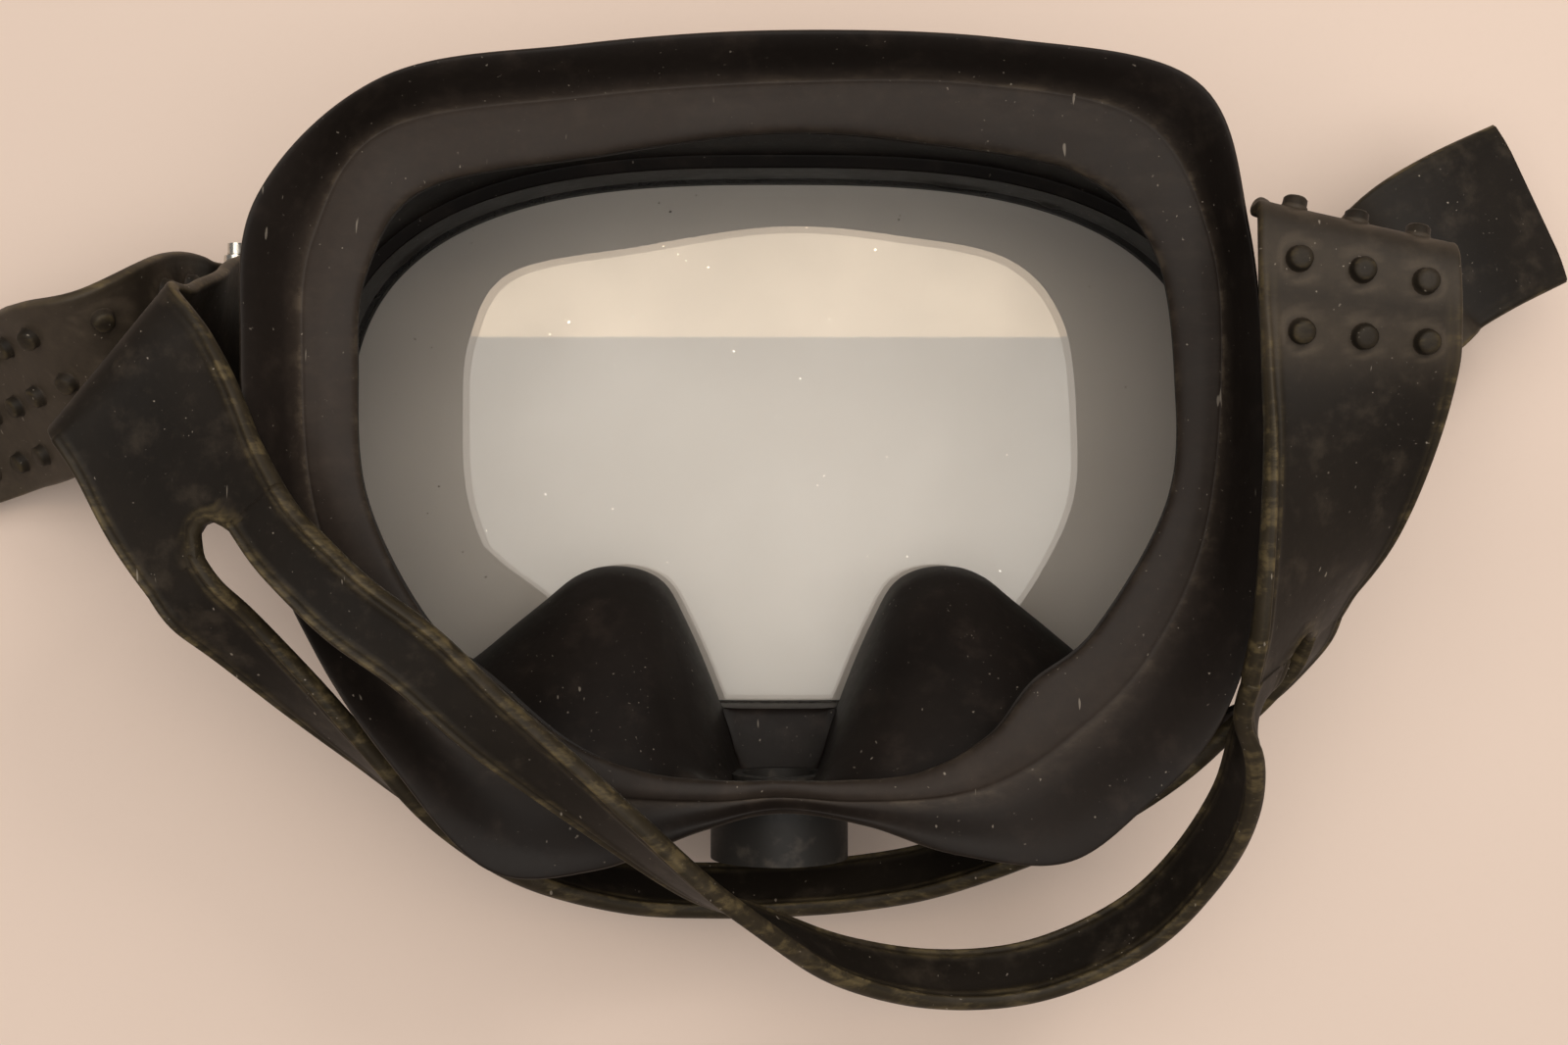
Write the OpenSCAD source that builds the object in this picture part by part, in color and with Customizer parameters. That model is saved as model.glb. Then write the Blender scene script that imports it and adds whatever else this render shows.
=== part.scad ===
// Diving mask: one-piece rubber skirt, toughened lens, clamped lens band, purge valve,
// hinged roller buckles and a split rubber head strap.
// +Z runs from the lens towards the face, +Y towards the forehead, +X to the right as seen
// from the face side. The origin is the middle of the lens's front face.

/* [Lens and band] */
// Half the width of the lens
lens_half_w = 84; // [76:1:90]
// Height of the lens above its middle
lens_top = 52; // [46:1:56]
// Height of the lens below its middle
lens_bottom = 51.5; // [46:1:56]
// Thickness of the lens
lens_t = 4.8; // [4:0.1:6]
// How far the rubber overlaps the edge of the lens
lens_bite = 3; // [2:0.25:4]
// Rubber between the lens edge and the band
groove_wall = 3; // [2.5:0.25:4]
// Rubber in front of the lens
front_lip = 2; // [1.5:0.25:3]
// Width of the lens band
band_w = 10; // [8:0.5:12]
// Thickness of the lens band
band_t = 0.8; // [0.6:0.1:1.2]
// Gap between the ends of the lens band at the clamp
clamp_gap = 5; // [4:0.5:7]
// Diameter of the clamp screw
screw_d = 3; // [2.5:0.5:4]

/* [Skirt] */
// Half the width of the sealing rim
rim_half_w = 78; // [72:1:84]
// Height of the skirt's highest point above the lens face
skirt_depth = 69; // [60:1:76]
// Thickness of the skirt's walls
wall_t = 2.2; // [1.8:0.1:3]
// Thickness of the sealing lips
lip_t = 1.6; // [1.2:0.1:2]
// How far the nose pocket hangs below the lens
chin_drop = 11.5; // [9:0.5:13]
// Height of the finger wells above the bottom of the nose pocket
well_h = 36; // [28:1:40]
// Distance of the finger wells from the middle
well_in = 10; // [8:1:12]

/* [Purge valve] */
// Outer diameter of the purge valve body
purge_d = 24; // [20:0.5:28]
// Length of the purge valve body below the skirt
purge_len = 10.5; // [8:0.5:14]
// Lift of the purge flap
purge_lift = 1.2; // [0.8:0.1:1.6]

/* [Strap] */
// Width of the strap's tongues
strap_w = 31; // [28:1:34]
// Width of each strap band
band_strap_w = 12; // [10:0.5:13]
// Thickness of the strap between its beads
strap_t = 2.2; // [1.8:0.1:2.6]
// How far the edge beads stand proud
bead = 0.5; // [0.3:0.1:0.8]
// Diameter of a stud
stud_d = 3.8; // [3:0.2:4.4]
// Height of a stud
stud_h = 1.8; // [1.2:0.2:2]
// Distance between studs
stud_pitch = 9.6; // [8:0.2:10]

/* [Buckles] */
// Height of the buckles above the lens middle
buckle_y = 18; // [12:1:22]
// Diameter of the buckle wire
wire_d = 2.4; // [2:0.1:3]
// Outer diameter of the roller
roller_d = 4.6; // [4.2:0.1:5]
// Diameter of the hinge pin
pin_d = 2; // [1.6:0.1:2.4]

/* [Hidden] */

run_fit = 0.05;            // radial clearance of a running fit
slack = 0.3;               // clearance between loose neighbours
per_anchor = 5;            // stations between two anchors of a skirt outline

function smooth(v) = let (c = max(0, min(1, v))) c * c * (3 - 2 * c);
function mix(a, b, f) = a + (b - a) * f;

// Closed or open Catmull-Rom curve through a list of points, n steps to a segment
function cr(a, b, c, d, f) = 0.5 * (2 * b + (c - a) * f + (2 * a - 5 * b + 4 * c - d) * f * f
    + (3 * b - a - 3 * c + d) * f * f * f);
function closed_curve(p, n) = let (m = len(p)) [for (i = [0:m - 1], j = [0:n - 1])
    cr(p[(i + m - 1) % m], p[i], p[(i + 1) % m], p[(i + 2) % m], j / n)];
function open_curve(p, n) = let (m = len(p)) concat([for (i = [0:m - 2], j = [0:n - 1])
    cr(p[max(i - 1, 0)], p[i], p[i + 1], p[min(i + 2, m - 1)], j / n)], [p[m - 1]]);

// ---------------------------------------------------------------- outlines of the front
// Direction of each anchor round the outline, anticlockwise from the bottom middle.
// Anchors crowd together along the bottom, where the finger wells are.
ANCHORS = [0, 7, 14.5, 24, 36, 52, 72, 92, 112, 132, 156, 180,
    204, 228, 248, 268, 288, 308, 324, 336, 345.5, 353];
STATIONS = [for (i = [0:len(ANCHORS) - 1], j = [0:per_anchor - 1])
    mix(ANCHORS[i], i == len(ANCHORS) - 1 ? 360 : ANCHORS[i + 1], j / per_anchor)];

// Rounded outline: a superellipse whose upper and lower halves have their own heights
outline_power = 2.8;
function power(v, n) = sign(v) * pow(abs(v), 2 / n);
function egg(a, top, bottom, turn, n = outline_power) =
    [a * power(sin(turn), n), -(cos(turn) > 0 ? bottom : top) * power(cos(turn), n)];
function front(grow) = [for (t = STATIONS)
    egg(lens_half_w + grow, lens_top + grow, lens_bottom + grow, t)];

open_grow = -lens_bite;
rubber_grow = groove_wall;
seat_z = 0.6;
seat_top = seat_z + band_w;
front_z = -front_lip;
bead_top = seat_top + 2;

// ---------------------------------------------------------------- skirt
// Sealing rim, crease and inner lip edge as [x, y, z] anchors, from the bottom middle
// anticlockwise. Widths and heights are carried by rim_half_w and skirt_depth.
RIM = [[0, -62, 52], [14, -64, 53], [28, -68, 56], [45, -69, 59], [57, -60, 62], [68, -47, 65],
    [73.5, -28, 68], [74.5, 0, 69], [72.5, 30, 67], [65, 53.5, 64], [36, 60.5, 62], [0, 62, 61],
    [-32, 59.5, 62], [-62, 54, 64], [-80.5, 35, 67], [-82.5, 12, 69], [-80, -14, 69], [-71, -36, 67],
    [-60.5, -53, 63], [-46, -70, 59], [-29, -70.5, 56], [-13, -65, 53]];
CREASE = [[0, -60, 50], [12, -60.5, 51], [26, -59.5, 53], [36, -56.5, 54], [46, -50, 55], [58, -38, 56],
    [67, -19, 58], [70, 6, 59], [68.5, 30, 58], [58, 49, 56], [32, 55, 55], [0, 55.5, 54],
    [-31, 53, 55], [-63, 47.5, 56], [-74, 30, 58], [-75.5, 10, 59], [-73.5, -14, 58], [-65, -35, 56],
    [-54, -49, 55], [-40, -57, 54], [-26, -59.5, 53], [-11, -60.5, 51]];
LIP = [[0, -57.5, 51], [10, -57.5, 51], [23, -56, 52], [34, -50, 54], [41, -41.5, 55], [51, -33, 56],
    [62, -13, 58], [63.5, 6, 58], [60.5, 28, 57], [49, 41, 55], [26, 46, 54], [0, 48, 54],
    [-30, 44, 55], [-57, 38.5, 56], [-66, 25, 58], [-67.5, 8, 58], [-66, -12, 58], [-57, -31, 56],
    [-46, -41, 55], [-34, -51, 54], [-22, -56, 52], [-9, -57.5, 51]];
rim_nominal = 78;
depth_nominal = 69;
function fitted(p) = [for (q = p) [q[0] * rim_half_w / rim_nominal, q[1] * rim_half_w / rim_nominal,
    q[2] * skirt_depth / depth_nominal]];
function ring3(p) = closed_curve(fitted(p), per_anchor);

// Skirt wall at height z: an outline that narrows towards the face, pushed up by the wells
wall_foot = bead_top + 1.5;
wall_head = 52 * skirt_depth / depth_nominal;
well_rise = 14;
well_flat = 34;
well_fall = 22;
function well(x, grow = 0) = smooth((abs(x) - well_in + grow) / well_rise)
    * (1 - smooth((abs(x) - well_flat - grow) / well_fall));
function well_part(z) = let (f = max(0, (z - wall_foot) / (wall_head - wall_foot)))
    1 - pow(min(1, f), 1.5);
function wall_ring(z, inset) = let (f = (z - wall_foot) / (wall_head - wall_foot),
        lean = smooth(f),
        a = mix(lens_half_w + 1, rim_half_w - 3, lean) - inset,
        top = mix(lens_top + 1.5, 57.5, lean) - inset,
        bottom = lens_bottom + chin_drop - inset)
    [for (t = STATIONS) let (p = egg(a, top, bottom, t, mix(outline_power, 3.5, lean)),
            dip = cos(t) > 0 ? 1 - smooth(abs(p[0]) / 34) : 0)
        [p[0] - 2.5 * lean, p[1] + (cos(t) > 0 ? well_h * well_part(z) * well(p[0], inset / 2) : 0),
            z - 5 * lean * dip]];
function flat_ring(p, z) = [for (q = p) [q[0], q[1], z]];
// Ring lifted by the wall's thickness, or sunk by it where a finger well lies behind it
function foot_ring(ring) = [for (q = ring) q + [0, 0, wall_t * (1 - 2 * (q[1] < 0 ? well(q[0]) : 0))]];

levels = [0.0, 0.14, 0.3, 0.48, 0.68, 0.86, 1.0];
function level_z(f) = mix(wall_foot, wall_head, f);
under_lip = [0, 0, -lip_t];
function moved(ring, by) = [for (q = ring) q + by];
function toward(ring, other, f) = [for (i = [0:len(ring) - 1]) mix(ring[i], other[i], f)];

SKIRT_RINGS = concat(
    [flat_ring(front(open_grow), front_z), flat_ring(front(rubber_grow - 0.8), front_z),
        flat_ring(front(rubber_grow), front_z + 0.8), flat_ring(front(rubber_grow), seat_z),
        flat_ring(front(rubber_grow - band_t), seat_z), flat_ring(front(rubber_grow - band_t), seat_top),
        flat_ring(front(rubber_grow), seat_top), flat_ring(front(rubber_grow), bead_top - 0.6),
        flat_ring(front(rubber_grow - 1), bead_top)],
    [for (f = levels) wall_ring(level_z(f), 0)],
    [toward(wall_ring(level_z(1), 0), moved(ring3(RIM), [0, 0, -2]), 0.55),
        moved(ring3(RIM), [0, 0, -lip_t]), ring3(RIM),
        ring3(CREASE), ring3(LIP), moved(ring3(LIP), under_lip)],
    [toward(wall_ring(level_z(1), wall_t), moved(ring3(CREASE), [0, 0, -2 * lip_t]), 0.4)],
    [for (i = [len(levels) - 2:-1:1]) wall_ring(level_z(levels[i]), wall_t)],
    [foot_ring(wall_ring(wall_foot, wall_t)), foot_ring(flat_ring(front(open_grow), bead_top)),
        flat_ring(front(open_grow), lens_t + front_lip + 0.5), flat_ring(front(open_grow), lens_t),
        flat_ring(front(0), lens_t), flat_ring(front(0), 0), flat_ring(front(open_grow), 0)]);

// Solid between rings that close on themselves, like a tyre
module ring_solid(rings) {
    m = len(rings);
    n = len(rings[0]);
    polyhedron(points = [for (r = rings) each r],
        faces = [for (i = [0:m - 1], j = [0:n - 1]) let (k = (i + 1) % m, l = (j + 1) % n)
            each [[i * n + j, k * n + l, i * n + l], [i * n + j, k * n + j, k * n + l]]],
        convexity = 8);
}

purge_z = 26;
floor_y = -(lens_bottom + chin_drop);
purge_end = floor_y - purge_len;
neck_r = purge_d / 2 - 4;
bore_r = purge_d / 2 - 2;
seat_gap = 0.05;           // rubber against what it grips

// Pointing down from height y, on the purge valve's axis
module purge_axis(y) translate([0, y, purge_z]) rotate([90, 0, 0]) children();
module tube(r_out, r_in, h) difference() {
    cylinder(r = r_out, h = h, $fn = 64);
    translate([0, 0, -1]) cylinder(r = r_in, h = h + 2, $fn = 64);
}
module plate(outline, low, high) translate([0, 0, low]) linear_extrude(high - low) polygon(outline);

module skirt() color("#2b2826") difference() {
    ring_solid(SKIRT_RINGS);
    purge_axis(floor_y + 2 * wall_t) cylinder(r = neck_r + seat_gap, h = 4 * wall_t, $fn = 64);
}

module lens() color("#dfe6e2", 0.35) plate(front(-seat_gap), 0, lens_t - seat_gap);

// ---------------------------------------------------------------- lens band and its clamp
ear_h = 7;
ear_t = 1.2;
ear_y = lens_top + groove_wall - 0.4;
screw_y = ear_y + 4;
screw_z = seat_z + band_w / 2;
head_d = 1.9 * screw_d;
head_h = 0.6 * screw_d;
nut_h = 0.8 * screw_d;
nut_r = screw_d;

module screw_axis(x) translate([x, screw_y, screw_z]) rotate([0, 90, 0]) children();
module lens_band() color("#c9c6bf") difference() {
    union() {
        difference() {
            plate(front(groove_wall), seat_z + seat_gap, seat_top - seat_gap);
            plate(front(groove_wall - band_t + seat_gap), seat_z - 1, seat_top + 1);
            translate([-clamp_gap / 2, lens_top - 4, seat_z - 1]) cube([clamp_gap, 12, band_w + 2]);
        }
        for (s = [-1, 1]) translate([s > 0 ? clamp_gap / 2 : -clamp_gap / 2 - ear_t, ear_y, seat_z + seat_gap])
            cube([ear_t, ear_h, band_w - 2 * seat_gap]);
    }
    screw_axis(-clamp_gap) cylinder(r = screw_d / 2 + run_fit, h = 2 * clamp_gap, $fn = 48);
}
ear_out = clamp_gap / 2 + ear_t;
module clamp_screw() color("#b9b6b0") difference() {
    union() {
        screw_axis(-ear_out - nut_h - 1) cylinder(r = screw_d / 2, h = 2 * ear_out + nut_h + 1.1, $fn = 48);
        screw_axis(ear_out + seat_gap) cylinder(r1 = head_d / 2, r2 = head_d / 2 - 0.5, h = head_h, $fn = 48);
    }
    translate([ear_out + head_h / 2, screw_y - head_d, screw_z - 0.35]) cube([head_h, 2 * head_d, 0.7]);
}
module clamp_nut() color("#b9b6b0") screw_axis(-ear_out - seat_gap - nut_h) difference() {
    cylinder(r = nut_r, h = nut_h, $fn = 6);
    translate([0, 0, -1]) cylinder(r = screw_d / 2 + run_fit, h = nut_h + 2, $fn = 48);
}

// ---------------------------------------------------------------- purge valve
flange_t = 1.2;
flap_t = 1;
web_t = 1.5;
seat_y = purge_end + 3;
module purge_body() color("#1d1c1b") {
    difference() {
        union() {
            purge_axis(floor_y - seat_gap) cylinder(r = purge_d / 2, h = purge_len - seat_gap, $fn = 64);
            purge_axis(floor_y + wall_t + flange_t) cylinder(r = neck_r, h = wall_t + flange_t + 1, $fn = 64);
            purge_axis(floor_y + wall_t + flange_t + 0.8) cylinder(r = neck_r + 0.6, h = flange_t, $fn = 64);
        }
        purge_axis(floor_y + 10) cylinder(r = neck_r - 1.5, h = 30, $fn = 64);
        purge_axis(seat_y + web_t) cylinder(r = bore_r, h = 20, $fn = 64);
    }
}
// Spider that the flap closes against: a ring, a hub and three arms
hub_r = 2.6;
stem_r = 1;
module purge_seat() color("#262524") purge_axis(seat_y + web_t - seat_gap) difference() {
    union() {
        tube(bore_r - seat_gap, bore_r - 2, web_t);
        cylinder(r = hub_r, h = web_t, $fn = 48);
        for (a = [0:120:240]) rotate(a) translate([0, -0.8, 0]) cube([bore_r - 1, 1.6, web_t]);
    }
    translate([0, 0, -1]) cylinder(r = stem_r + run_fit, h = 4, $fn = 48);
}
pip_r = 1.5;
// the stem's bulb stops the flap when it has dropped by its travel
bulb_y = seat_y + web_t + purge_lift + slack;
module purge_flap() color("#171615") {
    purge_axis(seat_y - slack) cylinder(r = bore_r - 0.6, h = flap_t, $fn = 64);
    purge_axis(seat_y - slack - flap_t) cylinder(r = pip_r, h = 3.2, $fn = 48);
    purge_axis(bulb_y + 0.7) cylinder(r = stem_r, h = bulb_y + 0.8 - seat_y + slack, $fn = 48);
    purge_axis(bulb_y + 1.4) cylinder(r = stem_r + 0.7, h = 1.4, $fn = 48);
}

// ---------------------------------------------------------------- strap buckles
hinge_x = lens_half_w + groove_wall + 4.2;
hinge_z = screw_z;
knuckle_r = pin_d / 2 + 1.1;
knuckle_l = 18;
mid_l = 8;
strap_loop_r = 4.8;
bar_x = hinge_x + 4.6 + strap_loop_r;
rail_t = 2;
rail_y = strap_w / 2 + 1.2;
saddle_t = 1;

module along_y(x, y, h) translate([x, y, hinge_z]) rotate([-90, 0, 0]) children();
module bracket() color("#c2bfb8") difference() {
    union() {
        intersection() {
            plate(front(groove_wall + saddle_t), seat_z + 0.6, seat_top - 0.6);
            translate([0, buckle_y - knuckle_l / 2, -5]) cube([2 * hinge_x, knuckle_l, 30]);
        }
        for (e = [-1, 1]) {
            y = buckle_y + (e > 0 ? mid_l / 2 + 0.2 : -knuckle_l / 2);
            l = (knuckle_l - mid_l) / 2 - 0.2;
            along_y(hinge_x, y) cylinder(r = knuckle_r, h = l, $fn = 48);
            translate([lens_half_w - 6, y, hinge_z - 0.9]) cube([hinge_x - lens_half_w + 6, l, 1.8]);
        }
    }
    plate(front(groove_wall + seat_gap), -5, 40);
    along_y(hinge_x, buckle_y - knuckle_l) cylinder(r = pin_d / 2 + run_fit, h = 2 * knuckle_l, $fn = 48);
}
module hinge_pin() color("#a9a6a0") {
    along_y(hinge_x, buckle_y - knuckle_l / 2 - 0.8) cylinder(r = pin_d / 2, h = knuckle_l + 1.6, $fn = 48);
    for (y = [-knuckle_l / 2 - 1, knuckle_l / 2 + 0.1])
        along_y(hinge_x, buckle_y + y) cylinder(r = pin_d / 2 + 0.5, h = 0.9, $fn = 48);
}
module buckle() color("#c9c6bf") difference() {
    union() {
        along_y(hinge_x, buckle_y - mid_l / 2) cylinder(r = knuckle_r, h = mid_l, $fn = 48);
        translate([hinge_x + 1.2, buckle_y - mid_l / 2, hinge_z - 0.8]) cube([1.2, mid_l, 1.6]);
        translate([hinge_x + knuckle_r + 0.1, buckle_y - rail_y - rail_t, hinge_z - 0.8])
            cube([1, 2 * (rail_y + rail_t), 1.6]);
        for (s = [-rail_y - rail_t, rail_y]) translate([hinge_x + knuckle_r + 0.1, buckle_y + s, hinge_z - 0.8])
            cube([bar_x - hinge_x - knuckle_r, rail_t, 1.6]);
        for (s = [-rail_y - rail_t, rail_y]) along_y(bar_x, buckle_y + s)
            cylinder(r = wire_d / 2 + 0.4, h = rail_t, $fn = 48);
        along_y(bar_x, buckle_y - rail_y - 1) cylinder(r = wire_d / 2, h = 2 * rail_y + 2, $fn = 48);
    }
    along_y(hinge_x, buckle_y - knuckle_l) cylinder(r = pin_d / 2 + run_fit, h = 2 * knuckle_l, $fn = 48);
}
module roller() color("#d2cfc8") along_y(bar_x, buckle_y - rail_y + slack)
    tube(roller_d / 2, wire_d / 2 + run_fit, 2 * (rail_y - slack));
module on_left() mirror([1, 0, 0]) children();

// ---------------------------------------------------------------- strap
// Every control point is [x, y, z, width direction], and the strap runs from the end of the
// left tongue to the end of the right one. The studded face is on the side of width x travel.
LEFT_TONGUE = [[-174, -1.5, -0.4, -0.1, -1, 0], [-163, 0.5, -0.2, -0.1, -1, 0], [-155, 2, 2.4, -0.1, -1, -0.1],
    [-147, 3.5, 8.5, -0.1, -0.9, -0.25], [-140, 5, 15, -0.1, -0.9, -0.35], [-134, 6, 22, -0.1, -0.9, -0.35],
    [-127, 8, 30.5, -0.1, -0.95, -0.3], [-120, 11, 37.5, -0.1, -1, -0.2], [-113, 13.5, 40, 0, -1, -0.1],
    [-107.5, 16, 35, 0, -1, 0], [-105.6, 17.5, 24, 0, -1, 0], [-bar_x - strap_loop_r, buckle_y, 13, 0, -1, 0]];
function wrap(side) = [for (a = [0:45:180]) [side * bar_x - strap_loop_r * cos(a), buckle_y,
    hinge_z - strap_loop_r * sin(a), 0, -1, 0]];
LEFT_RETURN = [[-bar_x + strap_loop_r, buckle_y, 13, 0, -1, 0], [-95.9, 16.5, 24, -0.05, -1, 0],
    [-97.2, 13, 35, -0.2, -1, 0], [-99.9, 10.4, 46, -0.45, -0.9, -0.1], [-103.6, 8.8, 54.3, -0.62, -0.78, -0.12],
    [-105.6, 8.5, 59.3, -0.66, -0.745, -0.12], [-106.8, 9, 62.3, -0.66, -0.745, -0.12],
    [-106.1, 7.9, 65.3, -0.66, -0.745, -0.12], [-103.9, 5.8, 66.6, -0.66, -0.745, -0.12],
    [-101.5, 3, 66.9, -0.665, -0.74, -0.14],
    [-98, -1.2, 67.4, -0.68, -0.71, -0.18], [-92.5, -10.5, 68.4, -0.71, -0.65, -0.26],
    [-87.5, -18.5, 69.5, -0.73, -0.58, -0.36]];
RIGHT_WIDE = [[81.2, -35.5, 59.5, 0.49, -0.07, -0.87], [82.4, -28.8, 63.7, 0.61, 0, -0.79],
    [85, -16.9, 68.8, 0.81, 0, -0.58], [87, -1, 73, 0.94, 0, -0.33], [87.8, 13.2, 76, 0.99, -0.05, -0.12],
    [86.5, 20, 77, 0.99, -0.1, -0.05], [86.3, 25, 77.3, 0.985, -0.15, -0.02], [86.5, 28.7, 77, 0.98, -0.19, 0],
    [87, 31.6, 75.8, 0.975, -0.22, 0], [87.3, 32.8, 72.8, 0.975, -0.22, 0], [87, 31.6, 69.8, 0.955, -0.29, 0],
    [87, 29.2, 65, 0.84, -0.54, -0.06], [88.4, 25.6, 57.5, 0.7, -0.71, -0.1], [91.6, 22.3, 46, 0.5, -0.86, -0.1],
    [94.4, 19.7, 34, 0.3, -0.95, -0.05], [95.7, 18.5, 23, 0.05, -1, 0],
    [bar_x - strap_loop_r, buckle_y, 13, 0, -1, 0]];
RIGHT_TAIL = [[bar_x + strap_loop_r, buckle_y, 12, 0, -1, 0], [106.4, 20.5, 19, 0.1, -1, 0],
    [109, 25, 24.4, 0.3, -1, 0], [114, 30, 26.5, 0.35, -0.95, 0], [122, 35.5, 25, 0.31, -0.95, 0],
    [134, 41.5, 20, 0.31, -0.95, 0]];
strap_steps = 3;
LEFT = open_curve(concat(LEFT_TONGUE, wrap(-1), LEFT_RETURN), strap_steps);
RIGHT = open_curve(concat(RIGHT_WIDE, wrap(1), RIGHT_TAIL), strap_steps);
half_shift = (strap_w - band_strap_w) / 2;
// Frame of station i: [place, width direction, outward normal of the studded face]
function unit(v) = v / norm(v);
function place(p) = [p[0], p[1], p[2]];
function frame_at(path, i) = let (m = len(path),
        d = unit(place(path[min(i + 1, m - 1)]) - place(path[max(i - 1, 0)])),
        v = [path[i][3], path[i][4], path[i][5]], w = unit(v - (v * d) * d))
    [place(path[i]), w, cross(w, d)];
// Control point of a band that leaves a tongue's end on edge s, this far beyond the end
function band_point(f, s, out) = let (w = f[1], c = f[0] + s * half_shift * w + out * cross(f[2], w))
    [c[0], c[1], c[2], w[0], w[1], w[2]];
LEFT_SLOT = frame_at(LEFT, len(LEFT) - 1);
RIGHT_SLOT = frame_at(RIGHT, 0);
// A band from slot to slot through its middle points: it leaves each tongue straight
function band_path(middle, s) = concat([band_point(LEFT_SLOT, s, slack)],
    open_curve(concat([band_point(LEFT_SLOT, s, 2.5)], middle, [band_point(RIGHT_SLOT, s, -2.5)]), strap_steps),
    [band_point(RIGHT_SLOT, s, -slack)]);
FRONT_MIDDLE = [[-74, -20.4, 74.8, -0.72, -0.63, -0.3], [-64.5, -28.6, 75.8, -0.66, -0.7, -0.25],
    [-55, -35.5, 75.3, -0.64, -0.7, -0.3], [-44.5, -45.5, 73.5, -0.6, -0.65, -0.42],
    [-34.5, -54, 70.5, -0.55, -0.55, -0.6], [-23.6, -63.5, 66.5, -0.45, -0.4, -0.8],
    [-11.7, -74, 60, -0.25, -0.2, -0.93], [-1, -81.5, 50.5, 0, 0.05, -1], [11, -88.5, 42.5, 0, 0.4, -0.9],
    [27, -92.6, 36.5, -0.05, 0.6, -0.8], [44, -91.5, 34.5, -0.2, 0.62, -0.75],
    [60, -84, 36, -0.4, 0.5, -0.77], [69.5, -73.5, 40.5, -0.4, 0.3, -0.87],
    [74.4, -60.5, 50.5, -0.25, 0.05, -0.95], [74.6, -47.5, 59, 0.1, 0, -1]];
REAR_MIDDLE = [[-86, -33, 61, -0.68, -0.55, -0.5], [-78, -41.5, 56.5, -0.55, -0.45, -0.7],
    [-68.5, -52, 50.5, -0.35, -0.25, -0.9], [-57.5, -64, 42.5, -0.15, 0, -1],
    [-43.5, -73.5, 33.5, 0, 0.3, -0.95], [-27, -78.6, 26.5, 0.05, 0.5, -0.86], [-13, -80, 22.5, 0, 0.58, -0.8],
    [1, -80, 21, 0, 0.6, -0.8], [15, -78.6, 22.5, -0.05, 0.58, -0.8], [29, -75, 27, -0.2, 0.5, -0.85],
    [48, -66.3, 35, -0.3, 0.4, -0.87], [62.5, -57.5, 42, -0.25, 0.2, -0.95],
    [72.5, -50.5, 41.5, 0, 0.1, -1], [80, -45, 44, 0.3, 0, -0.95]];

// Section across the strap: flat, with a bead of height b along both edges of both faces
bead_w = 1.3;
function section(w, b) = let (h = strap_t / 2, x = w / 2)
    [[-x, -h - b], [-x + bead_w, -h - b], [-x + 1.6 * bead_w, -h], [x - 1.6 * bead_w, -h], [x - bead_w, -h - b],
    [x, -h - b], [x, h + b], [x - bead_w, h + b], [x - 1.6 * bead_w, h], [-x + 1.6 * bead_w, h],
    [-x + bead_w, h + b], [-x, h + b]];
module ribbon(path, w, beads) {
    m = len(path);
    n = 12;
    polyhedron(points = [for (i = [0:m - 1]) let (f = frame_at(path, i), sec = section(w, beads[i]))
            each [for (q = sec) f[0] + q[0] * f[1] + q[1] * f[2]]],
        faces = concat([[for (j = [n - 1:-1:0]) j]], [for (i = [0:m - 2], j = [0:n - 1]) let (l = (j + 1) % n)
            each [[i * n + j, i * n + l, (i + 1) * n + l], [i * n + j, (i + 1) * n + l, (i + 1) * n + j]]],
            [[for (j = [0:n - 1]) (m - 1) * n + j]]), convexity = 6);
}
// Length along a path up to each station
function lengths(path, i = 0, sum = 0) = i == len(path) - 1 ? [[sum, i]]
    : concat([[sum, i]], lengths(path, i + 1, sum + norm(place(path[i + 1]) - place(path[i]))));
bare_end = 27;             // length of each tongue's end without studs
module stud(path, s, across) {
    f = frame_at(path, round(lookup(s, lengths(path))));
    z = f[2];
    x = f[1];
    y = cross(z, x);
    c = f[0] + across * x + 0.3 * strap_t * z;
    multmatrix([[x[0], y[0], z[0], c[0]], [x[1], y[1], z[1], c[1]], [x[2], y[2], z[2], c[2]], [0, 0, 0, 1]])
        cylinder(d1 = stud_d, d2 = stud_d - 0.6, h = stud_h + 0.2 * strap_t, $fn = 8);
}
// Stud rows between two lengths, leaving the stretch round the roller bare
module studs(path, from, to) {
    roller_s = [for (q = lengths(path)) if (abs(path[q[1]][2] - hinge_z) < 7 && abs(abs(path[q[1]][0]) - bar_x) < 6) q[0]];
    for (s = [from:stud_pitch:to]) if (s < min(roller_s) - 3 || s > max(roller_s) + 3)
        for (k = [-1, 0, 1]) stud(path, s, k * stud_pitch);
}
left_len = lengths(LEFT)[len(LEFT) - 1][0];
right_len = lengths(RIGHT)[len(RIGHT) - 1][0];
function bead_fade(path, s0, s1) = [for (q = lengths(path)) bead * smooth((q[0] - s0) / (s1 - s0))];
left_bare = 40;            // from the left slot to the nearest stud row
right_bare = 51.4;          // from the right slot to the nearest stud row
module left_tongue() color("#302c28") union() {
    ribbon(LEFT, strap_w, bead_fade(LEFT, left_len - 32, left_len - 20));
    studs(LEFT, bare_end, left_len - left_bare);
}
module right_tongue() color("#302c28") union() {
    ribbon(RIGHT, strap_w, bead_fade(RIGHT, 62, 50));
    studs(RIGHT, right_bare, right_len - bare_end);
}
module band(path) color("#302c28") ribbon(path, band_strap_w, [for (p = path) bead]);

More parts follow.
